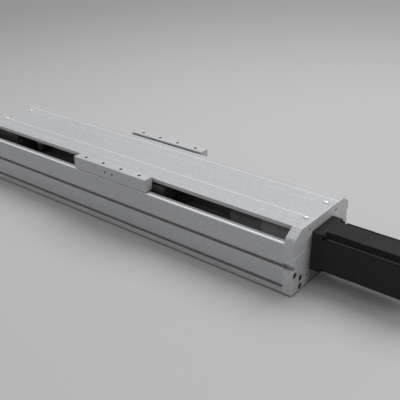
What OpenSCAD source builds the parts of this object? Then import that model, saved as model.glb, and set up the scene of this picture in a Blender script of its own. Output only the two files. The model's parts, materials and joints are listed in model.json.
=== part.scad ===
// Covered linear axis with an in-line servo motor. The motor turns a bevel pinion, the bevel
// gear turns a toothed pulley on a cross shaft, and a toothed belt pulls the table along two rails.
// X is the travel, with the motor at +X. The origin is the middle of the profile's bottom face.

/* [Axis] */
// Length over the outer faces of the two end plates
axis_length = 654; // [560:2:1200]
// Width over the side walls
axis_width = 150; // [136:1:190]
// Thickness of each end plate
end_plate_t = 15; // [12:0.5:20]
// Place of the middle of the table along the axis, as drawn
table_x = -6; // [-40:1:40]

/* [Profile] */
// Height of the ledges that carry the rails
ledge_z = 38; // [32:0.5:50]
// Height of the floor between the ledges
floor_z = 14; // [10:0.5:18]
// Thickness of the side wall beside the guides
wall_low_t = 14; // [12:0.5:18]
// Thickness of the side wall beside the slot
wall_top_t = 8; // [6:0.5:12]
// Height of the lower side groove
groove_low_z = 12.75; // [11:0.25:16]
// Height of the upper side groove
groove_high_z = 44.2; // [42:0.1:50]
// Width of a groove's mouth
groove_mouth = 5.2; // [4:0.1:8]
// Width of a groove inside its lips
groove_inside = 9; // [7:0.1:11]
// Depth of a groove
groove_depth = 6.5; // [5:0.1:8]

/* [Guides] */
// Width of a rail
rail_w = 15; // [12:0.5:20]
// Height of a rail
rail_h = 15; // [12:0.5:20]
// Width of a guide block
block_w = 34; // [30:1:40]
// Length of a guide block with its end caps
block_len = 61.4; // [50:0.2:75]
// Height from the ledge to the top of a guide block
guide_h = 28; // [24:0.5:32]
// Distance between rail screws
rail_screw_pitch = 60; // [40:5:80]
// Distance between the two blocks of one rail
block_pitch = 124; // [90:1:150]

/* [Table] */
// Length of the table under the cover
table_len = 196; // [180:1:260]
// Length of the two wings beside the cover
wing_len = 151; // [130:1:190]
// Thickness of the table
table_t = 22; // [16:0.5:28]
// How far the wings stand out past the side walls
wing_out = 2; // [0:0.5:10]
// How far the wings stand above the cover
wing_rise = 3; // [1:0.5:10]
// Distance between mounting holes along a wing
mount_pitch = 38; // [30:0.5:45]
// Diameter of the mounting holes' tapping drill
mount_hole_d = 5; // [3:0.1:7]

/* [Cover] */
// Thickness of the cover's sheet
cover_t = 3; // [2:0.5:5]
// Height of the cover's edges
cover_edge_h = 6.5; // [5:0.5:12]
// Distance from the side wall's face to the cover's edge
cover_inset = 17.6; // [14:0.1:24]
// Height of the gap between the table and the cover
cover_gap = 3; // [1:0.5:8]
// Height of the two raised bands along the cover
cover_band_h = 0.5; // [0.2:0.1:1]

/* [Belt drive] */
// Distance from one belt tooth to the next
belt_pitch = 5; // [5:1:5]
// Width of the belt
belt_w = 16; // [10:1:16]
// Height of a belt tooth
belt_tooth_h = 1.2; // [1:0.1:1.3]
// Thickness of the belt behind its teeth
belt_back_t = 1.5; // [1:0.1:2]
// Height of the pitch line above the foot of the teeth
belt_line_h = 0.6; // [0.4:0.05:0.9]
// Number of teeth on both pulleys
pulley_teeth = 20; // [18:1:21]
// Diameter of the cross shaft
shaft_d = 15; // [12:0.5:17]
// Diameter of the idler's axle
axle_d = 12; // [10:0.5:13]

/* [Bevel gears] */
// Module at the wide end of the teeth
gear_module = 1.75; // [1.7:0.05:2]
// Teeth on the pinion
pinion_teeth = 16; // [15:1:18]
// Teeth on the gear
gear_teeth = 32; // [31:1:36]
// Length of the teeth along the cone
gear_face = 8; // [6:0.5:9]
// Play between the teeth at the pitch circle
gear_play = 0.18; // [0.1:0.01:0.3]

/* [Motor] */
// Side of the square flange
flange_side = 59; // [56:0.5:62]
// Thickness of the flange
flange_t = 15.5; // [8:0.5:18]
// Side of the square motor body
motor_side = 59; // [57:0.5:62]
// Length of the motor from the end plate's face
motor_len = 150; // [120:1:220]
// Diameter of the motor shaft
motor_shaft_d = 14; // [11:0.5:15]
// Length of the motor shaft that stands out of the flange
motor_shaft_len = 30; // [26:1:34]
// Diameter of the pilot boss
pilot_d = 50; // [44:1:54]

/* [Fits] */
// Radial play of a running fit
run_fit = 0.1; // [0.05:0.01:0.1]
// Play between pieces that are bolted or pressed together
seat_fit = 0.02; // [0.01:0.01:0.05]

/* [Hidden] */
$fn = 48;

// Colours
alu_light = [0.74, 0.75, 0.77];
alu_mid = [0.58, 0.59, 0.61];
steel = [0.62, 0.63, 0.65];
steel_dark = [0.30, 0.31, 0.33];
black_coat = [0.10, 0.10, 0.11];
rubber_black = [0.07, 0.07, 0.08];

// Widths across the axis, measured from the middle
half_w = axis_width / 2;
inner_low_y = half_w - wall_low_t;
inner_top_y = half_w - wall_top_t;
block_side_gap = 2;
rail_y = inner_low_y - block_side_gap - block_w / 2;
ledge_edge = 10;
channel_y = rail_y - ledge_edge;

// Heights of the stack from the ledges to the cover
block_top_z = ledge_z + guide_h;
wall_rise = 13;
wall_top_z = block_top_z + wall_rise;
wing_gap = 1;
wing_low_z = wall_top_z + wing_gap;
table_top_z = block_top_z + table_t;
cover_low_z = table_top_z + cover_gap;
cover_top_z = cover_low_z + cover_edge_h;
wing_top_z = cover_top_z + wing_rise;
cover_y = half_w - cover_inset;
cover_edge_w = 6;
wing_inner_y = cover_y + 2.1;
wing_outer_y = half_w + wing_out;
mount_y = (wing_inner_y + wing_outer_y) / 2;

// Edges of the profile
foot_bevel = 2;
wall_round_r = 2.5;

// Lengths along the axis
outer_x = axis_length / 2;
inner_x = outer_x - end_plate_t;

// Belt and pulleys
pitch_r = pulley_teeth * belt_pitch / (2 * PI);
belt_seat = 2.5;
axis_z = block_top_z + belt_seat - belt_back_t + belt_line_h - 0.1 - pitch_r;
belt_top_z = axis_z + pitch_r;
belt_land = -belt_line_h;
belt_tip = -belt_line_h - belt_tooth_h;
belt_back = belt_back_t - belt_line_h;
tooth_tip_w = 1.8;
tooth_foot_w = 2.7;
belt_play = 0.15;
pulley_r = pitch_r - belt_line_h - belt_play;
pulley_root_r = pulley_r - belt_tooth_h - belt_play;
pulley_face_w = belt_w + 1;
pulley_flange_t = 1.5;
pulley_flange_r = pitch_r + belt_back + 1.1;
pulley_half_w = pulley_face_w / 2 + pulley_flange_t;

// Bevel gears, laid out from the point where their axes cross
pinion_cone = atan(pinion_teeth / gear_teeth);
gear_cone = 90 - pinion_cone;
pinion_pitch_r = gear_module * pinion_teeth / 2;
gear_pitch_r = gear_module * gear_teeth / 2;
cone_len = sqrt(pinion_pitch_r * pinion_pitch_r + gear_pitch_r * gear_pitch_r);
inner_share = (cone_len - gear_face) / cone_len;
pressure_angle = 20;
gear_tip_r = gear_pitch_r + gear_module * cos(gear_cone);

// Drive head: the cross shaft stands one gear radius past the side blocks' inner ends
collar_room = 16;
pinion_bearing = [17, 35, 10];
cross_bearing = [shaft_d, 28, 7];
idler_bearing = [axle_d, 21, 5];
bearing_gap_x = 2;
ring_t = 1.2;
pinion_back_t = 3;
block_right_x = inner_x;
seat_right_x = inner_x - collar_room;
pinion_journal_x = seat_right_x - ring_t - 2 * pinion_bearing[2] - bearing_gap_x;
cross_x = pinion_journal_x - pinion_back_t - gear_pitch_r;
block_left_x = cross_x + gear_pitch_r * inner_share + 0.3;
side_left_x = cross_x - gear_tip_r - 2;
head_side_in = 33;
head_side_out = inner_low_y - 6;
head_top_z = cover_low_z - 1.5;
tongue_drop = 25.6;
head_seat_z = min(ledge_z, axis_z - cross_bearing[1] / 2 - 2.5);
bearing_block_top_z = cover_top_z - cover_t - 1;

// Idler end: the belt's centre distance is a whole number of teeth
idler_back = 35;
belt_centres = belt_pitch * floor((cross_x + inner_x - idler_back) / belt_pitch);
idler_x = cross_x - belt_centres;
idler_web_t = 12;
idler_front_x = idler_x + pulley_flange_r + 2;
idler_cheek_y = pulley_half_w + 11;
tension_y = idler_cheek_y + 17;

// Rails run between the idler housing and the side blocks
rail_start_x = idler_front_x + 3;
rail_end_x = side_left_x - 5;
rail_len = rail_end_x - rail_start_x;
rail_screws = floor((rail_len - 30) / rail_screw_pitch) + 1;
rail_first_x = (rail_start_x + rail_end_x) / 2 - (rail_screws - 1) * rail_screw_pitch / 2;

// Belt clamps under the table
clamp_len = 40;
clamp_w = 32;
clamp_t = 9;
clamp_inner_x = 46;
clamp_screw_y = 12;
clamp_screw_x = 14;

// Fasteners: thread, head diameter, head height, socket across flats
m3 = [3, 5.5, 3, 2.5];
m4 = [4, 7, 4, 3];
m5 = [5, 8.5, 5, 4];

hole_play = 0.25;
head_play = 0.4;

// Radius of a tapped hole, a clearance hole and a head's counterbore for a screw
function tap_r(m) = m[0] / 2 + seat_fit;
function clear_r(m) = m[0] / 2 + hole_play;
function head_room_r(m) = m[1] / 2 + head_play;

// Holes in the end plates: side pair, lower pairs and dowels
plate_screw_places = [[half_w - 6.4, 31.4], [half_w - 22, 20.4], [half_w - 22, 7.4]];
dowel_place = [channel_y + 4.1, 16.6];
dowel_d = 4;
dowel_in = 5;
block_screw_place = [36, cover_low_z - 3];
counterbore_d = 9.5;
counterbore_depth = 6;
recess_low_z = 59.5;
recess_high_z = 73;
recess_depth = 1.2;

// Motor
body_start_x = outer_x + flange_t;
bell_start_x = body_start_x + 47.5;
bell_end_x = bell_start_x + 12;
motor_end_x = outer_x + motor_len;
motor_screw_y = 24.75;
motor_corner_r = 1.2;
screw_pocket_r = m4[1] / 2 + 1.7;
screw_pocket_len = m4[2] + 2.5;

// Channels in the motor's corners: width, depth, the lip beside them and how low the lip lies
motor_channel_w = 9.4;
motor_channel_depth = 13;
motor_lip_t = 2.4;
motor_lip_drop = 4.6;

// ---- Helpers ----

// Extrudes a drawing of the cross-section (Y to the right, Z up) from x0 to x1
module along_x(x0, x1)
    translate([x0, 0, 0]) rotate([90, 0, 90]) linear_extrude(x1 - x0) children();

// Extrudes a drawing of the side view (X to the right, Z up) from y0 to y1
module along_y(y0, y1)
    translate([0, y1, 0]) rotate([90, 0, 0]) linear_extrude(y1 - y0) children();

// Puts the children at +Y and mirrors them to -Y
module both_sides() {
    children();
    mirror([0, 1, 0]) children();
}

// A rod along X
module rod_x(r, x0, x1)
    translate([x0, 0, 0]) rotate([0, 90, 0]) cylinder(h = x1 - x0, r = r);

// A rod along Y
module rod_y(r, y0, y1)
    translate([0, y1, 0]) rotate([90, 0, 0]) cylinder(h = y1 - y0, r = r);

// A ring along Z from z0 to z1
module ring_z(ri, ro, z0, z1)
    translate([0, 0, z0]) difference() {
        cylinder(h = z1 - z0, r = ro);
        translate([0, 0, -1]) cylinder(h = z1 - z0 + 2, r = ri);
    }

// A ring whose axis lies along Y
module ring_y(ri, ro, y0, y1)
    rotate([-90, 0, 0]) ring_z(ri, ro, y0, y1);

// A ring whose axis lies along X
module ring_x(ri, ro, x0, x1)
    rotate([0, 90, 0]) ring_z(ri, ro, x0, x1);

// Socket head cap screw with the head's seat at z = 0 and the shank pointing down
module cap_screw(m, len) {
    difference() {
        union() {
            cylinder(h = m[2] - 0.3, r = m[1] / 2);
            translate([0, 0, m[2] - 0.3]) cylinder(h = 0.3, r1 = m[1] / 2, r2 = m[1] / 2 - 0.3);
            translate([0, 0, -len]) cylinder(h = len, r = m[0] / 2);
        }
        translate([0, 0, m[2] / 2]) cylinder(h = m[2], r = m[3] / sqrt(3), $fn = 6);
    }
}

// Headless screw with its socket end at z = 0 and pointing down
module grub_screw(m, len)
    difference() {
        translate([0, 0, -len]) cylinder(h = len, r = m[0] / 2);
        translate([0, 0, -m[0] / 2]) cylinder(h = m[0], r = m[3] * 0.7 / sqrt(3), $fn = 6);
    }

// The outer ring of a sealed ball bearing, with both shields, along Z
module bearing_outer(b) {
    inner_lip = b[0] / 2 + (b[1] - b[0]) * 0.16 + run_fit;
    race = b[1] / 2 - (b[1] - b[0]) * 0.13;
    rotate_extrude() difference() {
        translate([inner_lip, 0]) square([b[1] / 2 - inner_lip, b[2]]);
        translate([inner_lip - 1, 1]) square([race - inner_lip + 1, b[2] - 2]);
    }
}

// The inner ring of the same bearing, with its ball groove
module bearing_inner(b) {
    lip = b[0] / 2 + (b[1] - b[0]) * 0.16;
    rotate_extrude() difference() {
        translate([b[0] / 2, 0]) square([lip - b[0] / 2, b[2]]);
        translate([lip + b[2] * 0.12, b[2] / 2]) circle(r = b[2] * 0.22, $fn = 24);
    }
}

// ---- Profile ----

// A T-groove that opens at x = 0 and runs towards -x
module groove_2d() {
    lip = 1.8;
    corner = 1.6;
    translate([-lip - 0.01, -groove_mouth / 2]) square([lip + 1, groove_mouth]);
    polygon([[-lip, -groove_inside / 2], [-lip, groove_inside / 2],
        [corner - groove_depth, groove_inside / 2], [-groove_depth, groove_inside / 2 - corner],
        [-groove_depth, corner - groove_inside / 2], [corner - groove_depth, -groove_inside / 2]]);
}

// Adds the mirror image of a half outline, given from bottom to top on the right side
function mirrored(half) = concat(half, [for (i = [len(half) - 1 : -1 : 0]) [-half[i][0], half[i][1]]]);

// The profile without its grooves and chambers
module profile_outline_2d() {
    step_z = groove_high_z + groove_inside / 2 + 4;
    polygon(mirrored([[half_w - foot_bevel, 0], [half_w, foot_bevel], [half_w, wall_top_z - wall_round_r],
        [half_w - wall_round_r, wall_top_z], [inner_top_y, wall_top_z],
        [inner_top_y, step_z + inner_top_y - inner_low_y], [inner_low_y, step_z],
        [inner_low_y, ledge_z], [channel_y, ledge_z], [channel_y, floor_z]]));
    for (side = [-1, 1])
        translate([side * (half_w - wall_round_r), wall_top_z - wall_round_r]) circle(r = wall_round_r);
}

module chamber_2d(y0, y1, z0, z1) {
    c = 1.5;
    polygon([[y0 + c, z0], [y1 - c, z0], [y1, z0 + c], [y1, z1 - c], [y1 - c, z1],
        [y0 + c, z1], [y0, z1 - c], [y0, z0 + c]]);
}

module profile_2d() {
    port_r = tap_r(m5);
    chamber_y = channel_y + 8;
    difference() {
        profile_outline_2d();
        for (side = [0, 1]) mirror([side, 0]) {
            translate([half_w, groove_low_z]) groove_2d();
            translate([half_w, groove_high_z]) groove_2d();
            translate([bottom_groove_y, 0]) rotate(-90) groove_2d();
            chamber_2d(chamber_y, half_w - 26.5, 4.5, ledge_z - 5);
            chamber_2d(half_w - 17, half_w - 11, 4.5, 25.5);
            for (p = plate_screw_places) translate(p) circle(r = port_r, $fn = 24);
        }
    }
}

bottom_groove_y = 12;
foot_hole_y = 26;
foot_hole_pitch = 150;
foot_hole_d = 5;
foot_hole_depth = 11;

module at_foot_holes()
    for (x = [-1.5, -0.5, 0.5, 1.5] * foot_hole_pitch, y = [-foot_hole_y, foot_hole_y])
        translate([x, y, 0]) children();

// The drive head's seat milled into the ledges, and the room for the gear between them
module head_pocket() {
    reach = max(head_side_in, channel_y);
    depth_z = axis_z - gear_tip_r - 2;
    translate([side_left_x - 0.5, -head_side_out - 0.5, head_seat_z])
        cube([inner_x - side_left_x + 2, 2 * head_side_out + 1, wall_top_z]);
    translate([side_left_x - 0.5, -reach, max(depth_z, floor_z)])
        cube([inner_x - side_left_x + 2, 2 * reach, wall_top_z]);
}

module at_rail_screws()
    for (i = [0 : rail_screws - 1]) translate([rail_first_x + i * rail_screw_pitch, rail_y, 0])
        children();

module base_profile() color(alu_mid) difference() {
    along_x(-inner_x, inner_x) profile_2d();
    head_pocket();
    both_sides() {
        at_rail_screws() translate([0, 0, ledge_z - 12]) cylinder(h = 13, r = tap_r(m4));
        for (x = [-inner_x, inner_x]) translate([x, dowel_place[0], dowel_place[1]])
            rod_x(dowel_d / 2 + seat_fit, -12, 12);
        at_head_foot_screws() translate([0, 0, head_foot_seat_z - 20])
            cylinder(h = 20, r = tap_r(m5));
        at_idler_foot_screws() translate([0, 0, ledge_z - 13])
            cylinder(h = 14, r = tap_r(m5));
    }
    at_foot_holes() translate([0, 0, -1]) cylinder(h = foot_hole_depth + 1, r = foot_hole_d / 2);
}

// ---- End plates ----

// Cross-section of the cover: a sheet with edges that turn down and two shallow raised bands.
// Where it is cut out of a plate, it has room all round and no bands.
module cover_2d(room = 0) {
    lip_y = cover_y - cover_edge_w - room;
    lip_step = 0.9;
    step_z = cover_top_z - 3.4;
    edge = 0.5;
    bands = room > 0 ? [] : [[cover_y - band_out, cover_top_z], [cover_y - band_out, band_z],
        [band_in, band_z], [band_in, cover_top_z]];
    polygon(mirrored(concat([[lip_y, cover_top_z - cover_t - room], [lip_y, cover_low_z - room],
        [cover_y - lip_step + room, cover_low_z - room], [cover_y - lip_step + room, step_z - lip_step],
        [cover_y + room, step_z], [cover_y + room, cover_top_z - edge],
        [cover_y + room - edge, cover_top_z + room]], bands)));
}

band_in = 23.5;
band_out = 14.4;
band_z = cover_top_z + cover_band_h;

// Outline of an end plate with its sloping shoulders
module plate_2d() {
    shoulder_h = 11.4;
    bend_r = 7;
    slope = atan(shoulder_h / cover_inset);
    bend_t = bend_r * tan((90 - slope) / 2);
    arc = [for (a = [0 : (90 - slope) / 6 : 90 - slope + 0.01])
        [half_w - bend_r + bend_r * cos(a), cover_top_z - shoulder_h - bend_t + bend_r * sin(a)]];
    top = [[cover_y, cover_top_z], [-cover_y, cover_top_z]];
    left = [for (i = [len(arc) - 1 : -1 : 0]) [-arc[i][0], arc[i][1]]];
    polygon(concat([[-half_w + foot_bevel, 0], [half_w - foot_bevel, 0], [half_w, foot_bevel]],
        arc, top, left, [[-half_w, foot_bevel]]));
}

// An end plate drawn from x = 0 to its thickness, with its outer face at the thickness
module plate_blank() difference() {
    along_x(0, end_plate_t) difference() {
        plate_2d();
        cover_2d(seat_fit);
        for (side = [0, 1]) mirror([side, 0]) translate([half_w - groove_depth,
            groove_high_z - groove_inside / 2]) square([groove_depth + 1, groove_inside]);
    }
    both_sides() {
        for (p = plate_screw_places) translate([0, p[0], p[1]]) {
            rod_x(clear_r(m5), -1, end_plate_t + 1);
            rod_x(counterbore_d / 2, end_plate_t - counterbore_depth, end_plate_t + 1);
        }
        translate([0, dowel_place[0], dowel_place[1]])
            rod_x(dowel_d / 2 + seat_fit, -1, end_plate_t + 1);
        translate([end_plate_t - cover_screw_in, cover_screw_y, cover_low_z - 6])
            cylinder(h = 20, r = tap_r(m4));
    }
}

module motor_end_plate() color(alu_light) difference() {
    translate([inner_x, 0, 0]) plate_blank();
    translate([0, 0, axis_z]) {
        rod_x(pilot_d / 2 + seat_fit, outer_x - 3, outer_x + 1);
        rod_x(20, inner_x - 1, outer_x + 1);
    }
    for (y = [-motor_screw_y, motor_screw_y], z = [-motor_screw_y, motor_screw_y])
        translate([0, y, axis_z + z]) rod_x(tap_r(m4), outer_x - 12, outer_x + 1);
    both_sides() {
        translate([0, block_screw_place[0], block_screw_place[1]])
            rod_x(tap_r(m4), inner_x - 1, outer_x + 1);
        translate([outer_x - recess_depth, flange_side / 2 + 1, recess_low_z])
            cube([recess_depth + 1, half_w, recess_high_z - recess_low_z]);
    }
}

module idler_end_plate() color(alu_light) difference() {
    mirror([1, 0, 0]) translate([inner_x, 0, 0]) plate_blank();
    both_sides() translate([0, tension_y, axis_z]) {
        rod_x(clear_r(m5), -outer_x - 1, -inner_x + 1);
        rod_x(counterbore_d / 2, -outer_x - 1, -outer_x + counterbore_depth);
    }
}

module at_plate_screws(sx)
    both_sides() for (p = plate_screw_places)
        translate([sx * (outer_x - counterbore_depth), p[0], p[1]]) children();

module end_plate_screws() color(steel_dark) {
    at_plate_screws(1) point_minus_x_seat() cap_screw(m5, 20);
    at_plate_screws(-1) point_x_seat() cap_screw(m5, 20);
}

// A screw that points along -X, its head's seat at x = 0 and its head towards +X
module point_minus_x_seat() rotate([0, 90, 0]) children();

// A screw that points along +X, its head's seat at x = 0 and its head towards -X
module point_x_seat() rotate([0, -90, 0]) children();

module dowel_pins() color(steel) both_sides()
    for (s = [-1, 1]) translate([0, dowel_place[0], dowel_place[1]])
        rod_x(dowel_d / 2, s > 0 ? inner_x - 10 : dowel_in - outer_x,
            s > 0 ? outer_x - dowel_in : 10 - inner_x);

// ---- Cover ----

cover_screw_in = 12;
cover_screw_y = 28;

module at_cover_screws()
    both_sides() for (s = [-1, 1])
        translate([s * (outer_x - cover_screw_in), cover_screw_y, band_z])
            children();

module top_cover() color(alu_light) difference() {
    along_x(-outer_x, outer_x) cover_2d();
    at_cover_screws() translate([0, 0, -8]) cylinder(h = 10, r = clear_r(m4));
}

module cover_screws() color(steel) at_cover_screws() {
    head_r = 3.8;
    head_h = 2.4;
    difference() {
        union() {
            rotate_extrude() polygon(concat([[0, 0], [head_r, 0]],
                [for (a = [0 : 15 : 90]) [head_r * (0.45 + 0.55 * cos(a)), 0.5 + (head_h - 0.5) * sin(a)]],
                [[0, head_h]]));
            translate([0, 0, -9]) cylinder(h = 9.1, r = m4[0] / 2);
        }
        translate([0, 0, 1]) cylinder(h = 3, r = 2.5 / sqrt(3), $fn = 6);
    }
}

// ---- Guides ----

// Cross-section of a rail: foot, waist with the ball tracks, and head
module rail_2d(room = 0) {
    w = rail_w / 2 + room;
    waist = rail_w / 2 - 1.4 + room;
    top = rail_h + room;
    foot = rail_h * 0.42;
    polygon([[-w + 0.5, 0], [w - 0.5, 0], [w, 0.5], [w, foot - room], [waist, foot + 1.6 - room],
        [waist, foot + 3.4 + room], [w, foot + 5 + room], [w, top - 1], [w - 1, top],
        [-w + 1, top], [-w, top - 1], [-w, foot + 5 + room], [-waist, foot + 3.4 + room],
        [-waist, foot + 1.6 - room], [-w, foot - room], [-w, 0.5]]);
}

module guide_rails() color(steel) both_sides() difference() {
    along_x(rail_start_x, rail_end_x) translate([rail_y, ledge_z]) rail_2d();
    at_rail_screws() translate([0, 0, ledge_z]) {
        translate([0, 0, -1]) cylinder(h = rail_h + 2, r = clear_r(m4));
        translate([0, 0, rail_h - m4[2] - 1.3]) cylinder(h = rail_h, r = head_room_r(m4));
    }
}

module rail_screws() color(steel_dark) both_sides() at_rail_screws()
    translate([0, 0, ledge_z + rail_h - m4[2] - 1.3]) cap_screw(m4, 20);

block_cap_t = 6;
block_lift = 4.3;

module at_blocks() both_sides() for (s = [-1, 1])
    translate([table_x + s * block_pitch / 2, 0, 0]) children();

module block_2d(trim) {
    w = block_w / 2 - trim;
    edge = 1.5;
    difference() {
        translate([rail_y, ledge_z]) polygon([[-w, block_lift + edge], [-w + edge, block_lift],
            [w - edge, block_lift], [w, block_lift + edge], [w, guide_h - 6 - trim],
            [w - edge, guide_h - 4.5 - trim], [w - edge, guide_h - trim], [-w + edge, guide_h - trim],
            [-w + edge, guide_h - 4.5 - trim], [-w, guide_h - 6 - trim]]);
        translate([rail_y, ledge_z]) rail_2d(0.2);
        translate([rail_y - rail_w / 2 - 0.2, ledge_z - 1]) square([rail_w + 0.4, 7]);
    }
}

module at_block_screws()
    for (x = [-13, 13], y = [-13, 13]) translate([x, rail_y + y, 0]) children();

module guide_block_bodies() color(steel) at_blocks() difference() {
    along_x(-block_len / 2 + block_cap_t, block_len / 2 - block_cap_t) block_2d(0);
    at_block_screws() translate([0, 0, block_top_z - 6]) cylinder(h = 7, r = tap_r(m4));
}

module guide_block_end_caps() color(rubber_black) at_blocks() for (s = [0, 1]) mirror([s, 0, 0])
    along_x(block_len / 2 - block_cap_t, block_len / 2) block_2d(0.6);

module guide_block_screws() color(steel_dark) at_blocks() at_block_screws()
    translate([0, 0, table_top_z - m4[2] - 1]) cap_screw(m4, table_t - m4[2] - 1 + 5);

// ---- Table ----

// Half of the table's cross-section where it has no wing
module table_half_2d() {
    side = rail_y + block_w / 2 + 1;
    edge = 1;
    polygon([[0, block_top_z], [side - edge, block_top_z], [side, block_top_z + edge],
        [side, table_top_z - edge], [side - edge, table_top_z], [0, table_top_z]]);
}

// A wing, from the table's side up past the cover's edge
module wing_2d() {
    edge = 0.8;
    polygon([[cover_y - cover_edge_w - 4, wing_low_z], [wing_outer_y - edge, wing_low_z],
        [wing_outer_y, wing_low_z + edge], [wing_outer_y, wing_top_z - edge],
        [wing_outer_y - edge, wing_top_z], [wing_inner_y + edge, wing_top_z],
        [wing_inner_y, wing_top_z - edge], [wing_inner_y, table_top_z],
        [cover_y - cover_edge_w - 4, table_top_z]]);
}

module at_mount_holes() both_sides() for (i = [-1.5 : 1 : 1.5])
    translate([i * mount_pitch, mount_y, wing_top_z]) children();

flag_hole_pitch = 15.4;
flag_hole_z = wing_low_z + 11;
mount_hole_depth = 14;

module carriage_table() color(alu_light) translate([table_x, 0, 0]) difference() {
    union() {
        both_sides() along_x(-table_len / 2, table_len / 2) table_half_2d();
        both_sides() along_x(-wing_len / 2, wing_len / 2) wing_2d();
    }
    translate([-table_len, -belt_w / 2 - 0.3, block_top_z - 1])
        cube([2 * table_len, belt_w + 0.6, belt_seat + 1]);
    at_mount_holes() {
        translate([0, 0, -mount_hole_depth]) cylinder(h = mount_hole_depth + 1, r = mount_hole_d / 2);
        translate([0, 0, -0.5]) cylinder(h = 0.51, r1 = mount_hole_d / 2, r2 = mount_hole_d / 2 + 0.5);
    }
    for (x = [-0.5, 0.5] * flag_hole_pitch) translate([x, 0, flag_hole_z])
        rod_y(1.25, -wing_outer_y - 1, -wing_outer_y + 7);
    both_sides() for (s = [-1, 1]) translate([s * block_pitch / 2, 0, 0]) at_block_screws() {
        translate([0, 0, block_top_z - 1]) cylinder(h = table_t + 2, r = clear_r(m4));
        translate([0, 0, table_top_z - m4[2] - 1]) cylinder(h = m4[2] + 2, r = head_room_r(m4));
    }
    at_clamp_screws() translate([0, 0, block_top_z - 1])
        cylinder(h = 11, r = tap_r(m4));
}

module at_clamps() for (s = [-1, 1]) translate([s * (clamp_inner_x + clamp_len / 2), 0, 0])
    children();

module at_clamp_screws() at_clamps()
    for (x = [-clamp_screw_x, clamp_screw_x], y = [-clamp_screw_y, clamp_screw_y])
        translate([x, y, 0]) children();

// ---- Belt ----

// Point of the belt's side view at the distance s along its pitch line from the top of the
// drive pulley, at the height h outside the pitch line
function belt_point(s, h) =
    let (wrap = PI * pitch_r, r = pitch_r + h)
    s < 0 ? [cross_x + s, axis_z + r] :
    s < wrap ? let (a = 90 - s / pitch_r * 180 / PI) [cross_x + r * cos(a), axis_z + r * sin(a)] :
    s < wrap + belt_centres ? [cross_x - (s - wrap), axis_z - r] :
    s < 2 * wrap + belt_centres ? let (a = -90 - (s - wrap - belt_centres) / pitch_r * 180 / PI)
        [idler_x + r * cos(a), axis_z + r * sin(a)] :
    [idler_x + s - 2 * wrap - belt_centres, axis_z + r];

belt_loop = 2 * PI * pitch_r + 2 * belt_centres;
belt_start = table_x + clamp_inner_x - cross_x;
belt_end = belt_loop - cross_x + table_x - clamp_inner_x;

// Corners of one tooth, in order along the belt
function tooth_points(s) = [belt_point(s - tooth_foot_w / 2, belt_land),
    belt_point(s - tooth_tip_w / 2, belt_tip), belt_point(s + tooth_tip_w / 2, belt_tip),
    belt_point(s + tooth_foot_w / 2, belt_land), belt_point(s + belt_pitch / 2, belt_land)];

module toothed_belt() color(rubber_black) {
    first = ceil((belt_start + tooth_foot_w) / belt_pitch);
    last = floor((belt_end - tooth_foot_w) / belt_pitch);
    inside = [for (k = [first : last]) each tooth_points(k * belt_pitch)];
    back_step = belt_pitch / 2;
    outside = [for (k = [2 * last + 1 : -1 : 2 * first - 1]) if (needs_back_point(k * back_step))
        belt_point(k * back_step, belt_back)];
    ends = [belt_point(belt_end, belt_land), belt_point(belt_end, belt_back)];
    starts = [belt_point(belt_start, belt_back), belt_point(belt_start, belt_land)];
    along_y(-belt_w / 2, belt_w / 2) polygon(concat(inside, ends, outside, starts));
}

// The belt's back needs points on the two wraps and at their ends only
function needs_back_point(s) =
    let (wrap = PI * pitch_r, low = wrap + belt_centres)
    (s > -belt_pitch && s < wrap + belt_pitch) || (s > low - belt_pitch && s < low + wrap + belt_pitch);

// ---- Pulleys ----

module pulley_2d() {
    pitch_a = 360 / pulley_teeth;
    foot_a = (tooth_foot_w / 2 + belt_play) / pulley_r * 180 / PI;
    tip_a = (tooth_tip_w / 2 + belt_play) / pulley_root_r * 180 / PI;
    land_a = pitch_a / 2 - foot_a;
    polygon([for (k = [0 : pulley_teeth - 1]) let (a = 90 - k * pitch_a)
        each [for (p = [[pulley_root_r, tip_a], [pulley_root_r, -tip_a], [pulley_r, -foot_a],
            [pulley_r, -foot_a - land_a], [pulley_r, -foot_a - 2 * land_a]])
            [p[0] * cos(a + p[1]), p[0] * sin(a + p[1])]]]);
}

module pulley_blank(hub_r, hub_to) {
    along_y(-pulley_face_w / 2, pulley_face_w / 2) pulley_2d();
    both_sides() {
        rod_y(pulley_flange_r, pulley_face_w / 2, pulley_half_w - 0.5);
        translate([0, pulley_half_w - 0.5, 0]) rotate([-90, 0, 0])
            cylinder(h = 0.5, r1 = pulley_flange_r, r2 = pulley_flange_r - 0.5);
        rod_y(hub_r, 0, hub_to);
    }
}

key_w = 5;
key_t = 5;
key_in = 3;
drive_hub_to = pulley_half_w + 3.5;

// Key slot cut along Y at the top of the shaft
module key_room(y0, y1, room)
    translate([-key_w / 2 - room, y0, shaft_d / 2 - key_in])
        cube([key_w + 2 * room, y1 - y0, key_t + room]);

module drive_pulley() color(alu_mid) translate([cross_x, 0, axis_z]) difference() {
    pulley_blank(12, drive_hub_to);
    rod_y(shaft_d / 2 + seat_fit, -40, 40);
    key_room(-40, 40, seat_fit);
}

module idler_pulley() color(alu_mid) translate([idler_x, 0, axis_z]) difference() {
    pulley_blank(idler_bearing[1] / 2 + 1.5, pulley_half_w);
    rod_y(axle_d / 2 + 1.5, -40, 40);
    both_sides() rod_y(idler_bearing[1] / 2 + seat_fit, pulley_half_w - 1.2 - idler_bearing[2], 40);
}

// ---- Bevel gears ----

function inv_deg(a) = tan(a) * 180 / PI - a;

// Half the tooth's angle at the radius rho of the flat gear that stands for a bevel gear
function half_tooth(rho, rv, zv) =
    let (base = rv * cos(pressure_angle), a = acos(min(1, base / max(rho, base))))
    90 / zv - gear_play / 4 / rv * 180 / PI + inv_deg(pressure_angle) - inv_deg(a);

// Points along one flank of a tooth, from its root to its tip
flank_steps = 4;

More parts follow.
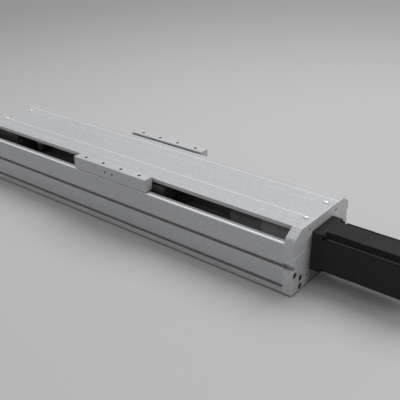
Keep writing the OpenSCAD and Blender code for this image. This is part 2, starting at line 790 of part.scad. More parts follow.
// Ring of points of a bevel gear's teeth on its back cone, scaled towards the axes' crossing.
// A tooth has its left flank, then its right flank, then the middle of the gap after it.
function bevel_ring(teeth, cone, share, phase) =
    let (rv = gear_module * teeth / 2 / cos(cone), zv = teeth / cos(cone),
        root = rv - 1.25 * gear_module, tip = rv + gear_module,
        flank = [for (i = [0 : flank_steps]) let (rho = root + (tip - root) * i / flank_steps)
            [rho, half_tooth(rho, rv, zv) / cos(cone)]],
        tooth = concat([for (f = flank) [f[0], -f[1]]],
            [for (i = [flank_steps : -1 : 0]) flank[i]], [[root, 180 / teeth]]))
    [for (k = [0 : teeth - 1]) each [for (p = tooth)
        let (a = phase + k * 360 / teeth + p[1], r = p[0] * cos(cone))
        share * [r * cos(a), r * sin(a), cone_len * cos(cone) - (p[0] - rv) * sin(cone)]]];

// Distance from the axes' crossing to the back of a gear's tooth roots, and their radius there
function gear_back(cone) = cone_len * cos(cone) + 1.25 * gear_module * sin(cone);
function root_radius(cone) = cone_len * sin(cone) - 1.25 * gear_module * cos(cone);

// Faces that close one end of the toothed cone: the teeth's ends and the disc inside them.
// The first point of the ring is at the index from, and centre is the disc's middle.
function bevel_cap(teeth, from, centre) =
    let (m = 2 * flank_steps + 3, last = m - 2)
    [for (k = [0 : teeth - 1]) let (b = from + k * m, next = from + (k + 1) % teeth * m)
        each concat([for (i = [0 : flank_steps - 1])
            [b + i, b + i + 1, b + last - i - 1, b + last - i]],
            [[centre, b, b + last], [centre, b + last, b + last + 1], [centre, b + last + 1, next]])];

function turned(faces) = [for (f = faces) [for (i = [len(f) - 1 : -1 : 0]) f[i]]];

// Toothed cone of a bevel gear, its axes' crossing at the origin and its axis along Z
module bevel_teeth(teeth, cone, phase) {
    wide = bevel_ring(teeth, cone, 1, phase);
    n = len(wide);
    back_z = gear_back(cone);
    points = concat(wide, bevel_ring(teeth, cone, inner_share, phase),
        [[0, 0, back_z], [0, 0, back_z * inner_share]]);
    sides = [for (i = [0 : n - 1]) let (j = (i + 1) % n) [i, j, n + j, n + i]];
    polyhedron(points, concat(sides, turned(bevel_cap(teeth, 0, 2 * n)),
        bevel_cap(teeth, n, 2 * n + 1)), convexity = 6);
}

gear_hub_r = 13;
gear_back_t = 4;
gear_hub_to = 30;

// The gear's cone behind its teeth, its hub, and the room in front for the pulley's flange
module bevel_gear() color(steel) translate([cross_x, 0, axis_z]) difference() {
    back = gear_back(gear_cone);
    rim = root_radius(gear_cone) - 0.5;
    union() {
        rotate([-90, 0, 0]) {
            bevel_teeth(gear_teeth, gear_cone, 180 / gear_teeth);
            rotate_extrude() polygon([[0, back - 1], [rim - 2.2, back - 1], [rim, back],
                [rim - gear_back_t / tan(gear_cone), back + gear_back_t], [gear_hub_r, back + gear_back_t],
                [gear_hub_r, gear_hub_to], [0, gear_hub_to]]);
        }
    }
    rod_y(gear_pitch_r * inner_share - 1.6, 0, drive_hub_to);
    rod_y(shaft_d / 2 + seat_fit, 0, 40);
    key_room(0, 40, seat_fit);
}

pinion_bore_x = seat_right_x - 0.5;
pinion_end_x = inner_x - 1;
pinion_journal_r = pinion_bearing[0] / 2 - seat_fit;
pinion_shoulder_r = 0.82 * root_radius(pinion_cone);

// Pinion with its shaft in one piece, hollow and slit at the end that grips the motor's shaft
module bevel_pinion() color(steel) translate([0, 0, axis_z]) difference() {
    union() {
        translate([cross_x, 0, 0]) rotate([0, 90, 0]) {
            bevel_teeth(pinion_teeth, pinion_cone, 90);
            rotate_extrude() polygon([[0, 0.88 * gear_back(pinion_cone)],
                [pinion_shoulder_r, 0.88 * gear_back(pinion_cone)],
                [pinion_shoulder_r, pinion_journal_x - cross_x],
                [pinion_journal_r, pinion_journal_x - cross_x],
                [pinion_journal_r, pinion_end_x - cross_x], [0, pinion_end_x - cross_x]]);
        }
    }
    rod_x(motor_shaft_d / 2 + seat_fit, pinion_bore_x, inner_x + 1);
    translate([seat_right_x + 2, -0.75, -20]) cube([collar_room, 1.5, 40]);
}

// ---- Cross shaft ----

shaft_end_y = head_side_in + cross_bearing[2] + 2.5;
shaft_groove_y = head_side_in + cross_bearing[2];

module cross_shaft() color(steel) translate([cross_x, 0, axis_z]) difference() {
    union() {
        rod_y(shaft_d / 2, -shaft_end_y + 0.6, shaft_end_y - 0.6);
        both_sides() translate([0, shaft_end_y - 0.6, 0]) rotate([-90, 0, 0])
            cylinder(h = 0.6, r1 = shaft_d / 2, r2 = shaft_d / 2 - 0.6);
    }
    key_room(-drive_hub_to + 3, gear_hub_to - 4, 0);
    both_sides() ring_y(shaft_d / 2 - 0.6, shaft_d, shaft_groove_y, shaft_groove_y + ring_t);
}

module drive_keys() color(steel_dark) translate([cross_x, 0, axis_z]) {
    key_play = 0.02;
    for (y = [[-drive_hub_to + 3, 12], [drive_hub_to + 1, gear_hub_to - 4]])
        translate([-key_w / 2 + key_play, y[0] + key_play, shaft_d / 2 - key_in + key_play])
            cube([key_w - 2 * key_play, y[1] - y[0] - 2 * key_play, key_t - 2 * key_play]);
}

module shaft_spacers() color(steel) translate([cross_x, 0, axis_z]) {
    ri = shaft_d / 2 + seat_fit;
    ring_y(ri, ri + 3, -head_side_in, -drive_hub_to);
    ring_y(ri, ri + 3, gear_hub_to, head_side_in);
}

module cross_shaft_rings() color(steel_dark) translate([cross_x, 0, axis_z]) both_sides()
    intersection() {
        ring_y(shaft_d / 2 - 0.58, shaft_d / 2 + 1.6, shaft_groove_y + 0.02, shaft_groove_y + ring_t - 0.02);
        translate([-20, 0, -20]) difference() {
            cube([40, 60, 40]);
            translate([18, -1, -1]) cube([4, 62, 12]);
        }
    }

module at_cross_bearings() translate([cross_x, 0, axis_z]) both_sides()
    translate([0, head_side_in, 0]) rotate([-90, 0, 0]) children();

module cross_bearing_outer_rings() color(steel) at_cross_bearings() bearing_outer(cross_bearing);

module cross_bearing_inner_rings() color(steel) at_cross_bearings() difference() {
    bearing_inner(cross_bearing);
    cylinder(h = 40, r = shaft_d / 2 + seat_fit, center = true);
}

module at_pinion_bearings() translate([0, 0, axis_z])
    for (x = [0, pinion_bearing[2] + bearing_gap_x]) translate([pinion_journal_x + x, 0, 0])
        rotate([0, 90, 0]) children();

module pinion_bearing_outer_rings() color(steel) at_pinion_bearings() bearing_outer(pinion_bearing);

module pinion_bearing_inner_rings() color(steel) at_pinion_bearings() bearing_inner(pinion_bearing);

// One ring in the block's bore that holds the outer rings, and a sleeve between them
module pinion_retaining_rings() color(steel_dark) translate([0, 0, axis_z]) {
    ro = pinion_bearing[1] / 2;
    ring_x(ro - 2.2, ro + 0.9, seat_right_x - ring_t + 0.02, seat_right_x - 0.02);
    ring_x(ro - 2.2, ro - seat_fit, pinion_journal_x + pinion_bearing[2] + 0.02,
        pinion_journal_x + pinion_bearing[2] + bearing_gap_x - 0.02);
}

collar_r = 16;
collar_x = [seat_right_x + 2, inner_x - 2];
collar_screw_y = 11.5;

module clamp_collar() color(steel_dark) translate([0, 0, axis_z]) difference() {
    rod_x(collar_r, collar_x[0], collar_x[1]);
    rod_x(pinion_bearing[0] / 2, collar_x[0] - 1, collar_x[1] + 1);
    translate([collar_x[0] - 1, 0, -1]) cube([20, collar_r + 1, 2]);
    translate([(collar_x[0] + collar_x[1]) / 2, collar_screw_y, 0]) {
        translate([0, 0, -30]) cylinder(h = 60, r = tap_r(m3));
        translate([0, 0, 5]) cylinder(h = 30, r = head_room_r(m3));
    }
}

module clamp_collar_screw() color(steel)
    translate([(collar_x[0] + collar_x[1]) / 2, collar_screw_y, axis_z + 5]) cap_screw(m3, 13);

// ---- Drive head ----

// Block on the ledges that carries the pinion's two bearings
module pinion_bearing_block() color(alu_mid) difference() {
    tongue_y = head_side_in - 2;
    tongue_z = axis_z - tongue_drop;
    along_x(block_left_x, block_right_x) polygon(mirrored([[tongue_y, tongue_z],
        [tongue_y, head_seat_z], [head_side_out, head_seat_z], [head_side_out, head_top_z],
        [cover_y - cover_edge_w - 2, head_top_z], [cover_y - cover_edge_w - 2, bearing_block_top_z]]));
    translate([0, 0, axis_z]) {
        rod_x(pinion_bearing[1] / 2 + seat_fit, block_left_x - 1, block_right_x + 1);
        rod_x(pinion_bearing[1] / 2 + 1, seat_right_x - ring_t, seat_right_x);
        rod_x(collar_r + 3, seat_right_x + 1.5, block_right_x + 1);
    }
    translate([(collar_x[0] + collar_x[1]) / 2, collar_screw_y, axis_z])
        cylinder(h = 60, r = 4);
    both_sides() {
        translate([0, block_screw_place[0], block_screw_place[1]])
            rod_x(tap_r(m4), inner_x - 12, inner_x + 1);
        at_head_side_screws() {
            rod_x(clear_r(m5), block_left_x - 1, inner_x + 1);
            rod_x(head_room_r(m5), head_screw_seat_x, inner_x + 1);
        }
    }
    gear_room();
}

// Where the gear and the belt reach past the block's left face
module gear_room() translate([cross_x, 0, axis_z])
    rod_y(gear_tip_r + 1.2, -pulley_half_w - 1.5, head_side_in - 2.5);

head_screw_y = (head_side_in + head_side_out) / 2;
head_screw_seat_x = inner_x - 12;

module at_head_side_screws() for (z = [head_seat_z + 10, head_top_z - 7])
    translate([0, head_screw_y, z]) children();

module at_head_foot_screws() translate([side_left_x + 7, head_screw_y, 0]) children();

module side_block() difference() {
    along_y(head_side_in - 0.5, head_side_out) {
        c = 3;
        polygon([[side_left_x, head_seat_z], [block_left_x, head_seat_z], [block_left_x, head_top_z],
            [side_left_x + c, head_top_z], [side_left_x, head_top_z - c]]);
    }
    translate([cross_x, 0, axis_z]) {
        rod_y(cross_bearing[1] / 2 + seat_fit, 0, head_side_in + cross_bearing[2]);
        rod_y(cross_bearing[1] / 2 - 3, 0, half_w);
    }
    at_head_foot_screws() {
        cylinder(h = 200, r = clear_r(m5));
        translate([0, 0, head_foot_seat_z]) cylinder(h = 200, r = head_room_r(m5));
    }
    at_head_side_screws() rod_x(tap_r(m5), block_left_x - 10, block_left_x + 1);
    translate([side_left_x, buffer_y, buffer_z]) rod_x(tap_r(m4), -1, 9);
}

head_foot_seat_z = head_seat_z + 10;
idler_foot_seat_z = ledge_z + 30;

module side_block_front() color(alu_mid) mirror([0, 1, 0]) side_block();

module side_block_rear() color(alu_mid) side_block();

module drive_head_screws() color(steel_dark) both_sides() {
    at_head_foot_screws() translate([0, 0, head_foot_seat_z]) cap_screw(m5, 20);
    at_head_side_screws() translate([head_screw_seat_x, 0, 0]) point_minus_x_seat()
        cap_screw(m5, head_screw_seat_x - block_left_x + 8);
    translate([outer_x - 1.5, block_screw_place[0], block_screw_place[1]]) point_minus_x_seat()
        grub_screw(m4, end_plate_t + 8);
}

// ---- Idler ----

idler_slot_h = axle_d - 2;
idler_slot_back = 9;
idler_slot_front = 4;

module at_idler_foot_screws() for (x = [-inner_x + 8, idler_front_x - 8])
    translate([x, (idler_cheek_y + head_side_out) / 2 + 5, 0]) children();

module idler_housing() color(alu_mid) difference() {
    tongue_y = min(channel_y, head_side_in) - 1;
    tongue_z = axis_z - tongue_drop;
    union() {
        both_sides() along_y(idler_cheek_y, head_side_out) {
            c = 3;
            polygon([[-inner_x, ledge_z], [idler_front_x, ledge_z], [idler_front_x, head_top_z - c],
                [idler_front_x - c, head_top_z], [-inner_x, head_top_z]]);
        }
        translate([-inner_x, -idler_cheek_y - 1, ledge_z])
            cube([idler_web_t, 2 * idler_cheek_y + 2, head_top_z - ledge_z]);
        translate([-inner_x, -tongue_y, tongue_z]) cube([idler_web_t, 2 * tongue_y, ledge_z - tongue_z + 1]);
    }
    both_sides() {
        along_y(idler_cheek_y - 1, idler_cheek_y + 26) translate([idler_x, axis_z])
            translate([-axle_d / 2 - idler_slot_back, -idler_slot_h / 2 - seat_fit])
                square([axle_d + idler_slot_back + idler_slot_front, idler_slot_h + 2 * seat_fit]);
        translate([0, tension_y, axis_z]) rod_x(clear_r(m5), -inner_x - 1, idler_x);
        at_idler_foot_screws() {
            cylinder(h = 200, r = clear_r(m5));
            translate([0, 0, idler_foot_seat_z]) cylinder(h = 200, r = head_room_r(m5));
        }
        translate([idler_front_x, buffer_y, buffer_z]) rod_x(tap_r(m4), -9, 1);
    }
}

module idler_housing_screws() color(steel_dark) both_sides() at_idler_foot_screws()
    translate([0, 0, idler_foot_seat_z]) cap_screw(m5, 40);

// The axle's ends are flattened where they slide in the housing's slots
module idler_axle() color(steel) translate([idler_x, 0, axis_z]) difference() {
    rod_y(axle_d / 2, -idler_cheek_y - 25, idler_cheek_y + 25);
    both_sides() for (s = [0, 1]) mirror([0, 0, s])
        translate([-axle_d, idler_cheek_y - 0.5, idler_slot_h / 2]) cube([2 * axle_d, 40, 5]);
    both_sides() translate([0, tension_y, 0]) rod_x(tap_r(m5), -10, 10);
}

module at_idler_bearings() translate([idler_x, 0, axis_z]) both_sides()
    translate([0, pulley_half_w - 1.2 - idler_bearing[2], 0]) rotate([-90, 0, 0]) children();

module idler_bearing_outer_rings() color(steel) at_idler_bearings() bearing_outer(idler_bearing);

module idler_bearing_inner_rings() color(steel) at_idler_bearings() difference() {
    bearing_inner(idler_bearing);
    cylinder(h = 40, r = axle_d / 2 + seat_fit, center = true);
}

module tension_screws() color(steel_dark) both_sides()
    translate([-outer_x + counterbore_depth, tension_y, axis_z]) point_x_seat()
        cap_screw(m5, outer_x - counterbore_depth + idler_x + axle_d / 2);

// ---- Buffers ----

buffer_r = 7;
buffer_len = 6;
buffer_y = head_side_out - 9;
buffer_z = table_top_z - 13;

module buffer() {
    rotate_extrude() polygon([[0, 0], [buffer_r, 0], [buffer_r, buffer_len - 2],
        [buffer_r - 2, buffer_len], [0, buffer_len]]);
    translate([0, 0, -8]) cylinder(h = 8.1, r = m4[0] / 2);
}

module end_buffers() color(rubber_black) both_sides() {
    translate([side_left_x, buffer_y, buffer_z]) rotate([0, -90, 0]) buffer();
    translate([idler_front_x, buffer_y, buffer_z]) rotate([0, 90, 0]) buffer();
}

// ---- Belt clamps ----

// Clamp plate whose top is cut to the belt's teeth
module belt_clamps() color(alu_mid) translate([table_x, 0, 0]) difference() {
    at_clamps() {
        c = 1;
        along_x(-clamp_len / 2, clamp_len / 2) polygon([[-clamp_w / 2, block_top_z - clamp_t + c],
            [-clamp_w / 2 + c, block_top_z - clamp_t], [clamp_w / 2 - c, block_top_z - clamp_t],
            [clamp_w / 2, block_top_z - clamp_t + c], [clamp_w / 2, block_top_z],
            [belt_w / 2, block_top_z], [belt_w / 2, belt_top_z + belt_land - 0.05],
            [-belt_w / 2, belt_top_z + belt_land - 0.05], [-belt_w / 2, block_top_z],
            [-clamp_w / 2, block_top_z]]);
    }
    clamp_teeth();
    at_clamp_screws() {
        translate([0, 0, block_top_z - clamp_t - 1]) cylinder(h = 40, r = clear_r(m4));
        translate([0, 0, block_top_z - clamp_t - 1]) cylinder(h = 5.2, r = head_room_r(m4));
    }
}

// Grooves for every belt tooth that lies over a clamp
module clamp_teeth() {
    reach = clamp_inner_x + clamp_len + belt_pitch;
    low = ceil((table_x - reach - cross_x) / belt_pitch);
    high = floor((table_x + reach - cross_x) / belt_pitch);
    z = belt_top_z + belt_land;
    foot = tooth_foot_w / 2 + belt_play;
    tip = tooth_tip_w / 2 + belt_play;
    for (k = [low : high]) {
        x = cross_x + k * belt_pitch - table_x;
        if (abs(x) > clamp_inner_x - belt_pitch) along_y(-belt_w / 2 - 1, belt_w / 2 + 1)
            polygon([[x - foot, z + 1], [x - foot, z], [x - tip, z - belt_tooth_h - belt_play],
                [x + tip, z - belt_tooth_h - belt_play], [x + foot, z], [x + foot, z + 1]]);
    }
}

module belt_clamp_screws() color(steel_dark) translate([table_x, 0, 0]) at_clamp_screws()
    translate([0, 0, block_top_z - clamp_t + 4.2]) mirror([0, 0, 1]) cap_screw(m4, 13);

// ---- Motor ----

module motor_shaft() color(steel) translate([0, 0, axis_z]) {
    rod_x(motor_shaft_d / 2, outer_x - motor_shaft_len + 1, body_start_x + 20);
    translate([outer_x - motor_shaft_len, 0, 0]) rotate([0, 90, 0])
        cylinder(h = 1, r1 = motor_shaft_d / 2 - 1, r2 = motor_shaft_d / 2);
}

module rounded_square_2d(side, r) {
    s = side / 2;
    arc = [for (a = [0 : 15 : 90]) [s - r + r * cos(a), s - r + r * sin(a)]];
    corners = [for (q = [0 : 3]) each [for (p = arc)
        [p[0] * cos(90 * q) - p[1] * sin(90 * q), p[0] * sin(90 * q) + p[1] * cos(90 * q)]]];
    polygon(corners);
}

module at_motor_screws() for (y = [-motor_screw_y, motor_screw_y], z = [-motor_screw_y, motor_screw_y])
    translate([0, y, z]) children();

module motor_flange() color(black_coat) translate([0, 0, axis_z]) difference() {
    union() {
        along_x(outer_x, body_start_x) rounded_square_2d(flange_side, motor_corner_r);
        rod_x(pilot_d / 2, outer_x - 2.5, outer_x + 1);
    }
    rod_x(motor_shaft_d / 2 + run_fit, outer_x - 10, body_start_x + 1);
    at_motor_screws() rod_x(clear_r(m4), outer_x - 1, body_start_x + 1);
}

// Square section with a round-bottomed channel in each corner, open at the top or the bottom
module motor_section_2d(trim = 0) difference() {
    s = motor_side / 2;
    r = motor_channel_w / 2;
    rounded_square_2d(motor_side - 2 * trim, motor_corner_r);
    for (m = [0, 1], n = [0, 1]) mirror([m, 0]) mirror([0, n]) {
        translate([s - motor_lip_t - r, s - motor_channel_depth + r]) {
            circle(r = r);
            translate([-r, 0]) square([2 * r, motor_channel_depth]);
        }
        translate([s - motor_lip_t - r, s - motor_lip_drop])
            square([motor_lip_t + 2 * r, 2 * motor_lip_drop]);
    }
}

module motor_body() color(black_coat) translate([0, 0, axis_z]) difference() {
    along_x(body_start_x, bell_start_x) motor_section_2d();
    rod_x(motor_shaft_d / 2 + run_fit, body_start_x - 1, body_start_x + 20.5);
    at_motor_screws() rod_x(screw_pocket_r, body_start_x - 1, body_start_x + screw_pocket_len);
}

bell_inset = 0.4;

module motor_rear_bell() color(black_coat) translate([0, 0, axis_z])
    along_x(bell_start_x, bell_end_x) motor_section_2d(bell_inset);

rear_trim = 1.5;
rear_screw_place = [22, 11];
rear_screw_len = 14;
rear_head_sink = 1;

module motor_encoder_housing() color(black_coat) translate([0, 0, axis_z]) difference() {
    union() {
        along_x(bell_end_x, motor_end_x - rear_trim) motor_section_2d();
        along_x(motor_end_x - rear_trim, motor_end_x) motor_section_2d(1);
    }
    for (y = [-1, 1], z = [-1, 1])
        translate([0, y * rear_screw_place[0], z * rear_screw_place[1]]) {
            rod_x(clear_r(m3), motor_end_x - rear_screw_len - m3[2] - 3, motor_end_x + 1);
            rod_x(head_room_r(m3), motor_end_x - m3[2] - rear_head_sink, motor_end_x + 1);
        }
}

// Sockets for the power and the signal plug: place across, width, height, pins in each row
connectors = [[-8, 20, 14, 3], [11, 13, 14, 2]];
connector_len = 7;
connector_wall = 1.4;
pin_pitch = 4.2;
pin_r = 0.6;

module motor_connectors() color(rubber_black) translate([0, 0, axis_z]) for (c = connectors)
    translate([0, c[0], 0]) {
        along_x(motor_end_x, motor_end_x + connector_len) difference() {
            square([c[1], c[2]], center = true);
            square([c[1] - 2 * connector_wall, c[2] - 2 * connector_wall], center = true);
        }
        along_x(motor_end_x, motor_end_x + connector_wall)
            square([c[1] - connector_wall, c[2] - connector_wall], center = true);
        for (i = [0 : c[3] - 1], z = [-0.5, 0.5])
            translate([0, (i - (c[3] - 1) / 2) * pin_pitch, z * pin_pitch])
                rod_x(pin_r, motor_end_x + connector_wall / 2, motor_end_x + connector_len - connector_wall);
    }

module motor_screws() color(steel_dark) translate([0, 0, axis_z]) {
    translate([body_start_x, 0, 0]) at_motor_screws()
        point_minus_x_seat() cap_screw(m4, flange_t + 10);
    for (y = [-1, 1], z = [-1, 1])
        translate([motor_end_x - m3[2] - rear_head_sink, y * rear_screw_place[0], z * rear_screw_place[1]])
            point_minus_x_seat() cap_screw(m3, rear_screw_len);
}

base_profile();
motor_end_plate();
idler_end_plate();
end_plate_screws();
dowel_pins();
top_cover();
cover_screws();
guide_rails();
rail_screws();
guide_block_bodies();
guide_block_end_caps();
guide_block_screws();
carriage_table();
belt_clamps();
belt_clamp_screws();
toothed_belt();
drive_pulley();
cross_shaft();
bevel_gear();
drive_keys();
shaft_spacers();
cross_shaft_rings();
cross_bearing_outer_rings();
cross_bearing_inner_rings();
bevel_pinion();
pinion_bearing_outer_rings();
pinion_bearing_inner_rings();
pinion_retaining_rings();
clamp_collar();
clamp_collar_screw();
pinion_bearing_block();
side_block_front();
side_block_rear();
drive_head_screws();
idler_housing();
idler_housing_screws();
idler_axle();
idler_pulley();
idler_bearing_outer_rings();
idler_bearing_inner_rings();
tension_screws();
end_buffers();
motor_shaft();
motor_flange();
motor_body();
motor_rear_bell();
motor_encoder_housing();
motor_connectors();
motor_screws();
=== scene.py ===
import json
import math

import bmesh
import bpy
from mathutils import Matrix, Vector


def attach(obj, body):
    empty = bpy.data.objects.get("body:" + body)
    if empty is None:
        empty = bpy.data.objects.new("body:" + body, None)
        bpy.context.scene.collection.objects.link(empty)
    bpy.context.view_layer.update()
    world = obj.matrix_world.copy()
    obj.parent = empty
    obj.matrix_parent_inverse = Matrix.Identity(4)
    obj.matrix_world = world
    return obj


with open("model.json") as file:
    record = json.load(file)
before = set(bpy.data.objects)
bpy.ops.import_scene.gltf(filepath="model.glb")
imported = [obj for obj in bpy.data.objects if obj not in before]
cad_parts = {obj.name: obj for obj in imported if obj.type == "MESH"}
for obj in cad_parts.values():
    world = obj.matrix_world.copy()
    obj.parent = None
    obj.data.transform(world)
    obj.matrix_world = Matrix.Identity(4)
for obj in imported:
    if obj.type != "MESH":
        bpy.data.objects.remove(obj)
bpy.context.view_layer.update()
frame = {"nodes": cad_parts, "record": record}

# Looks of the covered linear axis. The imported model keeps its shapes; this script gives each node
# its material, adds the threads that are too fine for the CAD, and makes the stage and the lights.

NODES = frame["nodes"]
MM = 0.001


# ---- Node graphs ----


class Graph:
    """A material with a Principled shader, and short calls for its other nodes."""

    def __init__(self, name, **sockets):
        self.material = bpy.data.materials.new(name)
        self.material.use_nodes = True
        self.tree = self.material.node_tree
        self.tree.nodes.clear()
        out = self.tree.nodes.new("ShaderNodeOutputMaterial")
        self.shader = self.tree.nodes.new("ShaderNodeBsdfPrincipled")
        self.tree.links.new(self.shader.outputs["BSDF"], out.inputs["Surface"])
        for socket, value in sockets.items():
            self.shader.inputs[socket.replace("_", " ")].default_value = value

    def add(self, kind, settings=None, **inputs):
        """A node with its settings, and its inputs given as numbers or as other nodes' outputs.

        An input is named, with _ for a space, or given by its place, as _0, _1 and so on."""
        node = self.tree.nodes.new("ShaderNode" + kind)
        for key, value in (settings or {}).items():
            setattr(node, key, value)
        for key, value in inputs.items():
            name = key.replace("_", " ").strip()
            socket = node.inputs[int(name)] if name.isdigit() else node.inputs[name]
            if isinstance(value, bpy.types.NodeSocket):
                self.tree.links.new(value, socket)
            else:
                socket.default_value = value
        return node

    def link(self, output, socket):
        self.tree.links.new(output, self.shader.inputs[socket])

    # Numbers

    def math(self, operation, first, second=0.0):
        return self.add("Math", {"operation": operation}, _0=first, _1=second).outputs["Value"]

    def size(self, value):
        return self.math("ABSOLUTE", value)

    def less(self, first, second):
        return self.math("SUBTRACT", first, second)

    def times(self, *factors):
        product = factors[0]
        for factor in factors[1:]:
            product = self.math("MULTIPLY", product, factor)
        return product

    def either(self, first, second):
        return self.math("MAXIMUM", first, second)

    def span(self, value, low, high, to_low=0.0, to_high=1.0):
        """What is to_low up to low, to_high from high on, and between them in between."""
        return self.add("MapRange", None, Value=value, From_Min=low, From_Max=high,
                        To_Min=to_low, To_Max=to_high).outputs["Result"]

    # Colours

    def mix(self, factor, first, second):
        return self.add("Mix", {"data_type": "RGBA"}, _0=factor, _6=first, _7=second).outputs[2]

    def scale_colour(self, colour, factor):
        return self.add("VectorMath", {"operation": "SCALE"}, _0=colour, Scale=factor).outputs["Vector"]

    # The surface: where it is, how it lies, and its texture

    def object_place(self):
        """Object coordinates in metres."""
        return self.add("TexCoord").outputs["Object"]

    def along(self, axis):
        """Object coordinate along one axis, in metres."""
        return self.add("SeparateXYZ", None, Vector=self.object_place()).outputs[axis]

    def aside(self):
        """Distance from the middle plane, in metres."""
        return self.size(self.along("Y"))

    def flat_normal(self):
        return self.add("NewGeometry").outputs["True Normal"]

    def upward(self):
        """1 on faces that look up, 0 on upright ones, -1 on those that look down."""
        return self.add("SeparateXYZ", None, Vector=self.flat_normal()).outputs["Z"]

    def noise(self, scale, detail=3.0, rough=0.55):
        """Noise over the object, with its scale per metre along each axis."""
        place = self.add("Mapping", {"vector_type": "POINT"}, Vector=self.object_place(),
                         Scale=scale).outputs["Vector"]
        return self.add("TexNoise", None, Vector=place, Scale=1.0, Detail=detail,
                        Roughness=rough).outputs["Fac"]

    def edge(self, radius):
        """Normal rounded over the edges, and a mask that is 1 on them."""
        round_normal = self.add("Bevel", {"samples": 6}, Radius=radius).outputs["Normal"]
        dot = self.add("VectorMath", {"operation": "DOT_PRODUCT"}, _0=round_normal,
                       _1=self.flat_normal()).outputs["Value"]
        return round_normal, self.span(dot, 1.0, 0.94)

    def cavity(self, reach):
        """1 out in the open, falling towards 0 deep in holes, grooves and corners."""
        made = self.add("AmbientOcclusion", {"samples": 6, "only_local": False}, Distance=reach)
        return made.outputs["AO"]

    def bump(self, height, distance, strength, normal):
        made = self.add("Bump", None, Height=height, Distance=distance, Strength=strength, Normal=normal)
        return made.outputs["Normal"]


# ---- Kinds of surface ----

COOL = (0.975, 0.99, 1.02)
NEUTRAL = (1.0, 1.0, 1.0)
CLOUDS = (6.0, 6.0, 6.0)
DUST_CLOUDS = (9.0, 9.0, 9.0)
MOTTLE = (230.0, 270.0, 270.0)
BRIGHTEST = 0.95


def grey(value, tint=NEUTRAL):
    return (value * tint[0], value * tint[1], value * tint[2], 1.0)


def metal(name, base, rough, grain, grain_depth, wear_and_sheen=0.06, tint=COOL, edge_radius=0.35 * MM,
          metallic=1.0, cavity_shade=0.14, cavity_shade_reach=7 * MM, speckle=0.14, relief_share=0.0, shade=None):
    """Bare or anodised metal: fine grain along the way it was worked, soft clouds, edges lightened as
    wear and as painted highlight, and painted shade in hollows.

    A shade is a function that takes the graph and returns what to multiply the colour by; the shades
    paint light and shade."""
    g = Graph(name, Metallic=metallic)
    round_normal, on_edge = g.edge(edge_radius)
    fine = g.noise(grain, detail=4.0, rough=0.6)
    clouds = g.noise(CLOUDS, detail=2.0)
    mottle = g.noise(MOTTLE, detail=4.0, rough=0.75)
    clean = g.mix(clouds, grey(base * 0.94, tint), grey(base * 1.04, tint))
    mottled = g.mix(g.times(g.span(mottle, 0.35, 0.65), 0.5), clean, grey(base * (1 + speckle), tint))
    speckled = g.mix(g.times(g.span(fine, 0.3, 0.7), 0.5), mottled,
                     grey(base * (1 - 0.7 * speckle), tint))
    # Painted shade: the colour is darkened in holes, grooves and corners, where shade falls.
    cavity_shaded = g.mix(g.span(g.cavity(cavity_shade_reach), 0.3, 0.75), grey(base * cavity_shade, tint), speckled)
    # Edges lightened, partly as wear and partly as a painted highlight.
    colour = g.mix(on_edge, cavity_shaded, grey(min(BRIGHTEST, base * (1.0 + 4 * wear_and_sheen)), tint))
    if shade:
        colour = g.scale_colour(colour, shade(g))
    g.link(colour, "Base Color")
    g.link(g.span(g.math("ADD", fine, g.times(clouds, 0.5)), 0.4, 1.1, rough - 0.06, rough + 0.06),
           "Roughness")
    relief = g.math("ADD", fine, g.times(mottle, relief_share))
    g.link(g.bump(relief, grain_depth, 0.6, round_normal), "Normal")
    return g.material


def coating(name, base, rough, peel, peel_depth, wear_and_sheen_to=None, specular=0.5, hollow_light=None, painted_top_shade=None):
    """Paint, oxide or plastic: a close skin texture, soft clouds and edges lightened as wear and as
    painted highlight.

    The hollow light is a grey painted into hollows as painted light, and the top shade what to multiply
    the colour by on upper faces, as painted shade."""
    g = Graph(name, Metallic=0.0, Specular_IOR_Level=specular)
    round_normal, on_edge = g.edge(0.3 * MM)
    skin = g.noise(peel)
    clouds = g.noise(DUST_CLOUDS)
    body = g.mix(clouds, grey(base * 0.85), grey(base * 1.2))
    # Painted light: hollows take a given grey, lighter than the motor's base, standing in for light that
    # reaches into them.
    if hollow_light:
        body = g.mix(g.span(g.cavity(14 * MM), 0.35, 0.7), grey(hollow_light), body)
    # Painted shade: upper faces darker, because of how the light falls on them.
    if painted_top_shade:
        body = g.scale_colour(body, g.span(g.upward(), 0.7, 0.95, 1.0, painted_top_shade))
    # Edges lightened, partly as wear and partly as a painted highlight.
    g.link(g.mix(g.times(on_edge, 0.6), body, grey(wear_and_sheen_to or base * 2.2)), "Base Color")
    g.link(g.span(clouds, 0.3, 0.7, rough - 0.05, rough + 0.06), "Roughness")
    g.link(g.bump(skin, peel_depth, 0.7, round_normal), "Normal")
    return g.material


# ---- Painted light and shade: darker and brighter places of the single pieces ----

TABLE_X = -6 * MM
TABLE_BODY_Y = 60.4 * MM
TABLE_OPEN_Z = 90.5 * MM
WING_HOLE_X, WING_HOLE_Y, WING_HOLE_PITCH = 13 * MM, 68.25 * MM, 38 * MM
FLAG_HOLE_PITCH, FLAG_HOLE_Z = 15.4 * MM, 91 * MM
COVER_TOP_Z = 97.5 * MM
COVER_REAR_STEPS = (43 * MM, -23.5 * MM)
FOOT_BEVEL_Z = 2 * MM
SHARP = 0.1 * MM


def hole_shade(g, first, second, radius):
    """Painted shade, nearly black, within a radius of a hole's axis, from the two distances to it, else
    1.
    """
    away = g.math("SQRT", g.math("ADD", g.times(first, first), g.times(second, second)))
    return g.span(away, radius, radius + 0.05 * MM, 0.06, 1.0)


